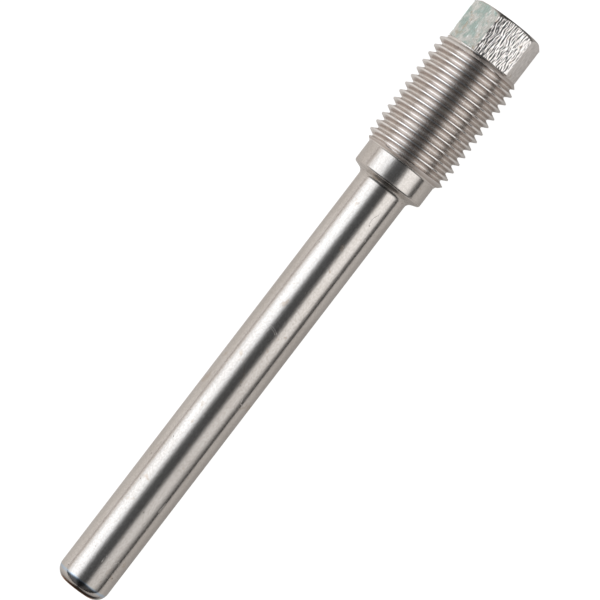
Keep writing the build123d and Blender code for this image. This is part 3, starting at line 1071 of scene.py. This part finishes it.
table_bm = bmesh.new()
bmesh.ops.create_grid(table_bm, x_segments=2, y_segments=2, size=3.0)
bmesh.ops.translate(table_bm, verts=table_bm.verts[:], vec=(0, 0, cad_box[0][2]))
table_mesh = bpy.data.meshes.new("table")
table_bm.to_mesh(table_mesh)
table_bm.free()
table_mesh.materials.append(table_finish())
table = bpy.data.objects.new("table", table_mesh)
bpy.context.scene.collection.objects.link(table)
print("table at", round(cad_box[0][2] / mm, 3), "mm")

# %% [markdown]
# ## Studio light
# Polished metal shows nothing but its surroundings, so lighting it means building those. Two long
# soft boxes run beside the probe, a strong one on its +Y side and a weaker one on its -Y side, with a
# dark gap overhead where the camera looks in: that gap is the black band down the middle of the
# stem. The plan lists how bright the room is at angles round the probe, from straight up, towards
# -Y, and a colour ramp holds it as a share of the brightest. The room fades towards both ends of the
# probe, as boxes of real length do. The left box is a little cool, the room below it warm, and the
# right side nearly neutral. Straight on, past the table's edge, the camera sees plain white.

# %% Room
room_plan = [
    (-180, 0.50), (-96, 0.56), (-88, 0.52), (-82, 0.74), (-74, 1.22), (-64, 1.50), (-56, 1.52),
    (-44, 1.50), (-35, 1.46), (-29, 1.08), (-23, 0.54), (-17, 0.23), (-10, 0.11), (6, 0.085),
    (12, 0.09), (18, 0.14), (24, 0.44), (30, 0.70), (37, 0.76), (45, 0.80), (54, 0.80), (61, 0.65),
    (70, 0.42), (77, 0.22), (83, 0.06), (88, 0.08), (96, 0.42), (180, 0.50),
]
brightest = 2.0
end_fade = (0.38, 0.60)
end_level = 0.10
left_tint, low_left_tint, right_tint = (0.96, 1.0, 1.045), (1.03, 0.982, 0.945), (1.01, 1.0, 0.99)


class Room(Finish):
    """Background shader in place of a surface one, with the same tools."""

    def __init__(self, world):
        world.use_nodes = True
        self.tree = world.node_tree
        self.tree.nodes.clear()
        self.shader = self.add("Background")
        self.add("OutputWorld", Surface=self.shader.outputs[0])
        self.place = self.add("TexCoord").outputs["Generated"]


world = bpy.data.worlds.new("studio")
bpy.context.scene.world = world
room = Room(world)
x, y, z = room.add("SeparateXYZ", Vector=room.place).outputs
turn = room.maths("ARCTAN2", room.maths("MULTIPLY", y, -1.0), z)
turn = room.maths("MULTIPLY_ADD", turn, 180 / math.pi, 180)  # degrees, and straight up is 180
plan = room.ramp(turn, 360, *[(angle + 180, (level / brightest,) * 3) for angle, level in room_plan])
level = room.maths("MULTIPLY", plan, brightest)
right_side = room.between(turn, 188, 205)
fade = room.between(room.maths("ABSOLUTE", x), *end_fade, 1.0, end_level)
level = room.maths("MULTIPLY", level, fade)
sees = room.add("LightPath").outputs["Is Camera Ray"]
level = room.maths("MAXIMUM", level, sees)
shade = room.tint(right_side, left_tint, right_tint)
low_left = room.between(turn, 95, 115, 1.0, 0.0)
shade = room.tint(low_left, shade, low_left_tint)
room.set(Color=room.tint(sees, shade, (1.0, 1.0, 1.0)), Strength=level)
print("room plan:", len(room_plan), "angles")

# %% [markdown]
# Two lamps add to that. The left one is the hot middle of its long soft box. The right one hangs
# closer and reaches far past the head but not past the tip, so the right band of the stem brightens
# towards the head.

# %% Lamps


def soft_box(name, start, end, angle, distance, width, power):
    """Lamp from start to end along the probe, in mm, at an angle from straight up towards -Y."""
    lamp = bpy.data.lights.new(name, "AREA")
    lamp.shape, lamp.size, lamp.size_y, lamp.energy = "RECTANGLE", (end - start) * mm, width * mm, power
    holder = bpy.data.objects.new(name, lamp)
    angle = math.radians(angle)
    away = Vector(((start + end) / 2, -math.sin(angle) * distance, math.cos(angle) * distance))
    holder.location = away * mm
    holder.rotation_euler = (angle, 0, 0)
    holder.visible_camera = False
    bpy.context.scene.collection.objects.link(holder)
    print(f"{name}: {power} W at {math.degrees(angle):.0f} degrees")


soft_box("soft_box_left", start=-525, end=475, angle=-54, distance=600, width=200, power=0.10)
soft_box("soft_box_right", start=-68, end=150, angle=49, distance=300, width=230, power=0.070)

# %% [markdown]
# ## View transform
# Colours are shown as they are written, with the Standard view transform.

# %% View transform
bpy.context.scene.view_settings.view_transform = "Standard"
